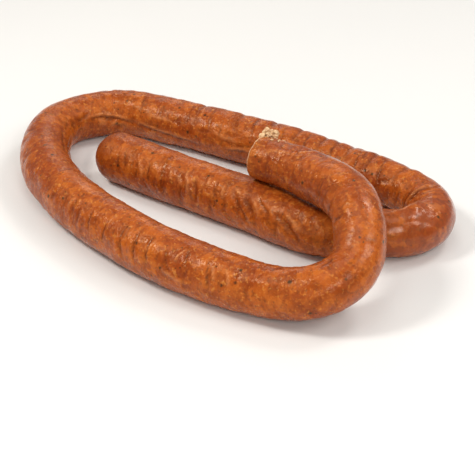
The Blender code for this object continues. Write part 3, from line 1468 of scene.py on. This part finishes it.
@dataclass(frozen=True)
class Specks:
    """One size of spice specks: balls about the points of a cell pattern.

    Attributes:
        share: How many cells there are for each grain of meat, along a line.
        radius: A speck's rough radius, as a share of a cell. It is two to three times as wide where
            its edge starts to fade.
        count: The share of cells that have a speck.
    """

    share: float
    radius: float
    count: float

    def mask(self, nodes: Nodes, place: Socket, grain: Socket) -> Socket:
        """Adds the specks' nodes.

        Args:
            nodes: The helper on the group's nodes.
            place: Places in metres.
            grain: Grains of meat in a metre.

        Returns:
            1 on a speck and 0 elsewhere.
        """
        scale = nodes.share(grain, self.share)
        cells = nodes.add("ShaderNodeTexVoronoi", Vector=place, Scale=scale)
        red, green, _ = nodes.parts(cells.outputs["Color"])
        reach = nodes.between(green, 1.9 * self.radius, 3.0 * self.radius)
        ragged = nodes.share(nodes.noise(place, 1900.0, 1.0), 1.6 * self.radius)
        distance = nodes.maths(Sum.PLUS, cells.outputs["Distance"], ragged)
        ball = nodes.mask(distance, reach, nodes.share(reach, 0.6))
        return nodes.share(ball, nodes.maths(Sum.BELOW, red, self.count))


@dataclass(frozen=True)
class MeatGrain:
    """The pattern of coarse minced meat, which the skin, the filling and the crumbs share.

    Chunk is a tone for each piece of meat, from a smoothed cell pattern in a warped space. Fat is
    small round blobs of noise. Speck is spice. Height is chunk and fat together.

    Attributes:
        warp: How far the pattern is pushed about, in metres.
        smoothness: How far neighbouring pieces of meat run into each other.
        fat_share: How many blobs of fat there are for each grain, along a line.
        fat_edge: The noise at which a blob of fat starts, and at which it is full.
        coarse: The larger specks.
        fine: The smaller ones.
    """

    warp: float = 0.003
    smoothness: float = 0.45
    fat_share: float = 2.1
    fat_edge: tuple[float, float] = (0.6, 0.69)
    coarse: Specks = Specks(0.46, 0.075, 0.9)
    fine: Specks = Specks(0.95, 0.08, 0.5)

    def build(self) -> bpy.types.NodeTree:
        """Builds the node group.

        Returns:
            The group, with a place and a grain size going in and masks coming out.
        """
        tree = bpy.data.node_groups.new("meat_grain", "ShaderNodeTree")
        face = tree.interface
        face.new_socket(name="Place", in_out="INPUT", socket_type="NodeSocketVector")
        face.new_socket(name="Grain", in_out="INPUT", socket_type="NodeSocketFloat")
        for name in ("Chunk", "Fat", "Speck", "Height"):
            face.new_socket(name=name, in_out="OUTPUT", socket_type="NodeSocketFloat")
        nodes = Nodes(tree)
        given = tree.nodes.new("NodeGroupInput").outputs
        place, grain = given["Place"], given["Grain"]
        warped = nodes.warped(place, grain, self.warp)
        chunks = nodes.add("ShaderNodeTexVoronoi", feature="SMOOTH_F1", Vector=warped, Scale=grain)
        chunks.inputs["Smoothness"].default_value = self.smoothness
        chunk = nodes.parts(chunks.outputs["Color"])[0]
        fat = nodes.noise(warped, nodes.share(grain, self.fat_share), 2.0)
        specks = [sort.mask(nodes, place, grain) for sort in (self.coarse, self.fine)]
        result = tree.nodes.new("NodeGroupOutput").inputs
        nodes.feed(result["Chunk"], chunk)
        nodes.feed(result["Fat"], nodes.mask(fat, *self.fat_edge))
        nodes.feed(result["Speck"], nodes.maths(Sum.LARGER, *specks))
        nodes.feed(result["Height"], nodes.maths(Sum.PLUS, nodes.share(chunk, 0.6), fat))
        return tree


@dataclass(frozen=True)
class Finish:
    """What every finish shares: a name and the way to start a material.

    Attributes:
        name: The material's name.
    """

    name: str

    def start(self) -> tuple[bpy.types.Material, Nodes, bpy.types.Node, Socket]:
        """Starts a material.

        Returns:
            The material, a helper on its node tree, its Principled BSDF, and places in metres.
        """
        material = bpy.data.materials.new(self.name)
        material.use_nodes = True
        nodes = Nodes(material.node_tree)
        place = nodes.add("ShaderNodeTexCoord").outputs["Object"]
        return material, nodes, material.node_tree.nodes["Principled BSDF"], place

    @staticmethod
    def meat(nodes: Nodes, grain: bpy.types.NodeTree, place: Socket, size: float) -> Sockets:
        """Places the meat's pattern in a material.

        Args:
            nodes: The helper on the material's nodes.
            grain: The pattern's group.
            place: Where it is read.
            size: Grains in a metre.

        Returns:
            Its chunk, fat, speck and height.
        """
        group = nodes.tree.nodes.new("ShaderNodeGroup")
        group.node_tree = grain
        nodes.feed(group.inputs["Place"], place)
        group.inputs["Grain"].default_value = size
        return group.outputs


@dataclass(frozen=True)
class SmokedCasing(Finish):
    """Smoked gut over coarse meat: orange-brown, blotchy, with fat, dark lean and spice under it.

    Sizes of patterns are in bumps or grains a metre.

    Attributes:
        rust: The deeper of its two main colours.
        amber: The lighter one.
        lean: Where dark meat lies under it. It is also the colour of the painted shade over the
            rounded end.
        light: Where light meat lies under it.
        fat: Where fat lies under it.
        stain: Small brown stains.
        speck: Pepper and herbs.
        painted_crease_shade: Painted shade on the floor of a crease.
        ridge_sheen: The top of a thin ridge, paler where the casing is off the meat, with a painted
            highlight.
        grains: The size of the meat's pattern.
        tones: The size of the broad patches of rust and amber.
        gloss_patches: The size of the shinier and duller patches.
        patches: The size of the lean patches.
        flecks: The size of the light flecks.
        stains: The size of the stains.
        pores: The size of the finest relief.
        streaks: The size of the streaks across the sausage, along it and twice round it.
        wrinkles: The size of the short wrinkles, in the same way.
    """

    rust: Colour = (0.285, 0.048, 0.007)
    amber: Colour = (0.400, 0.082, 0.009)
    lean: Colour = (0.172, 0.028, 0.005)
    light: Colour = (0.550, 0.145, 0.018)
    fat: Colour = (0.680, 0.260, 0.050)
    stain: Colour = (0.125, 0.032, 0.009)
    speck: Colour = (0.026, 0.018, 0.009)
    painted_crease_shade: Colour = (0.075, 0.012, 0.004)
    ridge_sheen: Colour = (0.660, 0.250, 0.085)
    grains: float = 205.0
    tones: float = 30.0
    gloss_patches: float = 110.0
    patches: float = 250.0
    flecks: float = 420.0
    stains: float = 330.0
    pores: float = 1100.0
    streaks: Stretch = (520.0, 90.0, 90.0)
    wrinkles: Stretch = (700.0, 160.0, 160.0)

    def make(self, grain: bpy.types.NodeTree) -> bpy.types.Material:
        """Builds the casing's material.

        Args:
            grain: The meat's pattern.

        Returns:
            The material.
        """
        material, nodes, shader, place = self.start()
        lay = nodes.attribute("lay", "Vector")
        taut = nodes.attribute("taut")
        meat = self.meat(nodes, grain, place, self.grains)
        nodes.feed(shader.inputs["Base Color"], self.colour(nodes, place, lay, meat, taut))
        gloss = nodes.noise(place, self.gloss_patches, 3.0)
        rough = nodes.between(nodes.mask(gloss, 0.38, 0.62), 0.19, 0.42)
        nodes.feed(shader.inputs["Roughness"], rough)
        shader.inputs["IOR"].default_value = 1.38
        shader.inputs["Specular Tint"].default_value = (1.0, 0.74, 0.44, 1.0)
        shader.inputs["Coat Roughness"].default_value = 0.17
        shader.inputs["Coat IOR"].default_value = 1.4
        shine = nodes.between(nodes.mask(gloss, 0.6, 0.4), 0.0, 0.1)
        shine = nodes.maths(Sum.PLUS, shine, nodes.share(taut, 0.5))
        nodes.feed(shader.inputs["Coat Weight"], shine)
        nodes.feed(shader.inputs["Normal"], self.relief(nodes, place, lay, meat, taut))
        return material

    def colour(
        self, nodes: Nodes, place: Socket, lay: Socket, meat: Sockets, taut: Socket
    ) -> Socket:
        """Mixes the casing's colour, from the broad tones to the painted shade of the creases and the
        rounded end.

        Args:
            nodes: The helper on the material's nodes.
            place: Places in metres.
            lay: Places on the straightened sausage.
            meat: The meat's pattern.
            taut: Where the casing is stretched smooth, which hides some of the flecks and fat.

        Returns:
            The colour.
        """
        chunk = meat["Chunk"]
        seen = nodes.between(taut, 0.9, 0.2)
        tone = nodes.mask(nodes.noise(place, self.tones, 4.0, 0.2), 0.36, 0.62)
        patches = nodes.mask(nodes.noise(place, self.patches, 4.0, 0.3), 0.48, 0.72)
        flecks = nodes.mask(nodes.noise(place, self.flecks, 3.0, 0.2), 0.55, 0.66)
        stains = nodes.mask(nodes.noise(place, self.stains, 3.0, 0.2), 0.42, 0.33)
        streaks = nodes.noise(nodes.stretched(lay, self.streaks), 1.0, 3.0, 0.2)
        layers = (
            (nodes.mask(chunk, 0.45, 0.1), 0.4, self.lean),
            (nodes.mask(chunk, 0.55, 0.95), 0.42, self.light),
            (patches, 0.42, self.lean),
            (nodes.share(flecks, seen), 0.45, self.light),
            (stains, 0.45, self.stain),
            (nodes.share(meat["Fat"], seen), 0.5, self.fat),
            (nodes.mask(streaks, 0.52, 0.74), 0.3, self.lean),
            (nodes.mask(streaks, 0.44, 0.28), 0.2, self.light),
            (meat["Speck"], 0.85, self.speck),
            # Painted highlight on ridges and lapped lips, over casing that is paler where it is off
            # the meat.
            (nodes.attribute("ridge_sheen"), 0.68, self.ridge_sheen),
            # Painted shade in the creases.
            (nodes.attribute("crease_shade"), 0.8, self.painted_crease_shade),
            # Painted shade over the rounded end.
            (nodes.attribute("tip"), 0.6, self.lean),
            (nodes.attribute("edge"), 0.15, self.fat),
        )
        return nodes.laid_over(nodes.blend(tone, self.rust, self.amber), layers)

    def relief(
        self, nodes: Nodes, place: Socket, lay: Socket, meat: Sockets, taut: Socket
    ) -> Socket:
        """Adds the casing's fine relief: short wrinkles across it, the meat's grain, and its pores.

        Args:
            nodes: The helper on the material's nodes.
            place: Places in metres.
            lay: Places on the straightened sausage.
            meat: The meat's pattern.
            taut: Where the casing is stretched smooth, which flattens wrinkles and grain.

        Returns:
            The normal.
        """
        slack = nodes.between(taut, 1.0, 0.35)
        wrinkle = nodes.noise(nodes.stretched(lay, self.wrinkles), 1.0, 3.0, 0.3)
        normal = nodes.bump(wrinkle, 0.0009, nodes.share(slack, 0.4))
        normal = nodes.bump(meat["Height"], 0.0012, nodes.share(slack, 0.5), normal)
        return nodes.bump(nodes.noise(place, self.pores, 2.0), 0.0002, 0.3, normal)


@dataclass(frozen=True)
class ShownFilling(Finish):
    """Coarse cooked filling at the cut: pale pink inside, and tan where it has dried.

    Sizes of patterns are in bumps or grains a metre.

    Attributes:
        pink: Its main colour inside.
        lean: The lean meat.
        fat: The fat.
        tan: Its dried surface.
        dry_fat: Fat on its dried surface.
        speck: Spice.
        grains: The size of the meat's pattern.
        tones: The size of the patches of tan and dried fat.
        crumbling: The size of the finest relief.
    """

    pink: Colour = (0.66, 0.40, 0.31)
    lean: Colour = (0.47, 0.19, 0.17)
    fat: Colour = (0.84, 0.68, 0.52)
    tan: Colour = (0.50, 0.26, 0.11)
    dry_fat: Colour = (0.74, 0.50, 0.27)
    speck: Colour = (0.07, 0.04, 0.02)
    grains: float = 210.0
    tones: float = 420.0
    crumbling: float = 1700.0

    def make(self, grain: bpy.types.NodeTree) -> bpy.types.Material:
        """Builds the filling's material.

        Args:
            grain: The meat's pattern.

        Returns:
            The material.
        """
        material, nodes, shader, place = self.start()
        meat = self.meat(nodes, grain, place, self.grains)
        dry = nodes.attribute("dry")
        inside = nodes.blend(nodes.mask(meat["Chunk"], 0.5, 0.2), self.pink, self.lean)
        inside = nodes.blend(nodes.mask(meat["Chunk"], 0.6, 0.8), inside, self.fat)
        tone = nodes.mask(nodes.noise(place, self.tones, 3.0), 0.36, 0.62)
        outside = nodes.blend(tone, self.tan, self.dry_fat)
        layers = ((meat["Fat"], 0.6, self.fat), (meat["Speck"], 0.35, self.speck))
        colour = nodes.laid_over(nodes.blend(dry, inside, outside), layers)
        nodes.feed(shader.inputs["Base Color"], colour)
        nodes.feed(shader.inputs["Roughness"], nodes.between(dry, 0.42, 0.62))
        normal = nodes.bump(meat["Height"], 0.0012, 0.6)
        normal = nodes.bump(nodes.noise(place, self.crumbling, 3.0), 0.0004, 0.6, normal)
        nodes.feed(shader.inputs["Normal"], normal)
        return material


@dataclass(frozen=True)
class CasingEdge(Finish):
    """The cut edge of the casing: pale, dry and slightly browned in places.

    Sizes of patterns are in bumps or grains a metre.

    Attributes:
        pale: Its main colour.
        browned: Where it has taken the smoke's colour.
        grains: The size of the meat's pattern, whose lean marks it.
        browning: The size of the browned places.
        fibres: The size of the fine relief.
    """

    pale: Colour = (0.66, 0.38, 0.20)
    browned: Colour = (0.37, 0.13, 0.04)
    grains: float = 300.0
    browning: float = 170.0
    fibres: float = 1400.0

    def make(self, grain: bpy.types.NodeTree) -> bpy.types.Material:
        """Builds the edge's material.

        Args:
            grain: The meat's pattern.

        Returns:
            The material.
        """
        material, nodes, shader, place = self.start()
        meat = self.meat(nodes, grain, place, self.grains)
        brown = nodes.mask(nodes.noise(place, self.browning, 3.0), 0.5, 0.7)
        lean = nodes.mask(meat["Chunk"], 0.5, 0.1)
        layers = ((brown, 0.8, self.browned), (lean, 0.4, self.browned))
        nodes.feed(shader.inputs["Base Color"], nodes.laid_over(self.pale, layers))
        nodes.feed(shader.inputs["Roughness"], nodes.between(brown, 0.45, 0.6))
        normal = nodes.bump(nodes.noise(place, self.fibres, 3.0), 0.0004, 0.6)
        nodes.feed(shader.inputs["Normal"], normal)
        return material


# ---------------------------------------------------------------- the object


@dataclass
class Sausage:
    """The whole sausage: its skin and what shows at its cut end.

    Attributes:
        route: The way that it lies.
    """

    route: Route = field(default_factory=Route)

    def build(self) -> list[bpy.types.Object]:
        """Makes every piece, dresses it and fixes it to the CAD model's one body.

        Returns:
            The pieces.
        """
        line = Centreline(self.route)
        line.centre_on(*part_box("sausage"))
        skin = Skin(line)
        casing = skin.build()
        end = CutEnd(skin)
        filling, crumbs, edge = end.build_filling(), end.build_crumbs(), end.build_edge()
        grain = MeatGrain().build()
        self.dress(casing, SmokedCasing("smoked_casing").make(grain), "casing")
        shown = ShownFilling("shown_filling").make(grain)
        self.dress(filling, shown, "filling")
        self.dress(crumbs, shown, "filling")
        self.dress(edge, CasingEdge("casing_edge").make(grain), "casing")
        return [casing, filling, crumbs, edge]

    @staticmethod
    def dress(piece: bpy.types.Object, material: bpy.types.Material, slot: str) -> None:
        """Gives a piece its material and its body, hides the CAD model's sausage, and reports it.

        Args:
            piece: The piece.
            material: Its material.
            slot: Not used.
        """
        piece.data.materials.clear()
        piece.data.materials.append(material)
        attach(piece, "root")
        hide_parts("sausage")
        log.info("%s: %d faces", piece.name, len(piece.data.polygons))


# ---------------------------------------------------------------- the studio


DAYLIGHT = (1.0, 0.975, 0.94)
WARM_WHITE = (1.0, 0.97, 0.92)
LOW_SUN = (1.0, 0.93, 0.82)


@dataclass(frozen=True)
class SoftBox:
    """A square soft light that faces the middle of the floor.

    Attributes:
        name: Its name.
        place: Where it is, in metres.
        size: Its side.
        power: Its power in watts.
        colour: Its colour.
    """

    name: str
    place: tuple[float, float, float]
    size: float
    power: float
    colour: Colour = DAYLIGHT

    def hang(self) -> None:
        """Puts the light in the scene."""
        lamp = bpy.data.lights.new(self.name, "AREA")
        lamp.shape = "SQUARE"
        lamp.size = self.size
        lamp.energy = self.power
        lamp.color = self.colour
        holder = bpy.data.objects.new(self.name, lamp)
        holder.location = self.place
        way = Vector(ORIGIN) - Vector(self.place)
        holder.rotation_euler = way.to_track_quat("-Z", "Y").to_euler()
        bpy.context.scene.collection.objects.link(holder)


@dataclass
class Studio:
    """A pale floor, soft light and the camera.

    Attributes:
        azimuth: The camera's turn about the object, in degrees.
        elevation: The camera's height over the horizon, in degrees.
        distance: How far it is from what it looks at, in metres.
        target: What it looks at.
        lens: Its focal length in millimetres, on a sensor 36 mm wide.
        surround: The brightness of the light from all round.
        floor_half: Half the side of the floor, in metres.
        floor_drop: How far the floor is under the sausage, in metres.
        floor_tones: The floor's two tones.
        lights: The soft lights.
    """

    azimuth: float = 33.0
    elevation: float = 32.0
    distance: float = 0.8
    target: tuple[float, float, float] = (0.03954, -0.01578, 0.0)
    lens: float = 89.13
    surround: float = 0.28
    floor_half: float = 4.0
    floor_drop: float = 0.0002
    floor_tones: tuple[Colour, Colour] = ((0.75, 0.75, 0.745), (0.79, 0.79, 0.785))
    lights: tuple[SoftBox, ...] = (
        SoftBox("key_light", (-0.62, -0.52, 1.07), 0.3, 9.2, WARM_WHITE),
        SoftBox("over_light", (-0.05, -0.1, 1.4), 0.7, 3.2),
        SoftBox("side_light", (0.92, 0.10, 0.92), 0.5, 4.6),
        SoftBox("right_light", (0.82, -0.71, 0.76), 0.32, 3.6),
        SoftBox("rear_light", (0.35, 0.71, 1.03), 0.34, 4.2),
        SoftBox("back_light", (-0.69, 0.85, 0.72), 0.5, 1.7, LOW_SUN),
        SoftBox("front_light", (0.35, -1.3, 0.5), 0.9, 2.5),
    )

    def set_up(self) -> None:
        """Lays the floor, hangs the lights and sets the camera."""
        self.lay_floor()
        for light in self.lights:
            light.hang()
        world = bpy.data.worlds.new("studio")
        world.use_nodes = True
        background = world.node_tree.nodes["Background"]
        background.inputs["Color"].default_value = opaque(WARM_WHITE)
        background.inputs["Strength"].default_value = self.surround
        scene = bpy.context.scene
        scene.world = world
        scene.view_settings.view_transform = "Standard"
        scene.camera = self.make_camera()

    def lay_floor(self) -> None:
        """Lays a large pale floor, with a faint unevenness in its tone."""
        mesh = bpy.data.meshes.new("floor")
        half = self.floor_half
        corners = [(-half, -half, 0), (half, -half, 0), (half, half, 0), (-half, half, 0)]
        mesh.from_pydata(corners, [], [(0, 1, 2, 3)])
        floor = bpy.data.objects.new("floor", mesh)
        bpy.context.scene.collection.objects.link(floor)
        floor.location.z = -self.floor_drop
        material, nodes, shader, place = Finish("pale_floor").start()
        colour = nodes.blend(nodes.noise(place, 3.0, 2.0), *self.floor_tones)
        nodes.feed(shader.inputs["Base Color"], colour)
        shader.inputs["Roughness"].default_value = 0.7
        mesh.materials.append(material)

    def make_camera(self) -> bpy.types.Object:
        """Sets the camera at its distance from the target, in the direction of its two angles.

        Returns:
            The camera.
        """
        turn, rise = math.radians(self.azimuth), math.radians(self.elevation)
        level = math.cos(rise)
        back = Vector((math.sin(turn) * level, -math.cos(turn) * level, math.sin(rise)))
        data = bpy.data.cameras.new("camera")
        data.lens = self.lens
        data.sensor_width = SENSOR_WIDTH
        camera = bpy.data.objects.new("camera", data)
        camera.location = Vector(self.target) + self.distance * back
        camera.rotation_euler = (-back).to_track_quat("-Z", "Y").to_euler()
        bpy.context.scene.collection.objects.link(camera)
        return camera


def main() -> None:
    """Builds the sausage and its studio."""
    logging.basicConfig(level=logging.INFO, format="%(name)s %(message)s")
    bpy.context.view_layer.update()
    Sausage().build()
    Studio().set_up()


if __name__ == "__main__":
    main()
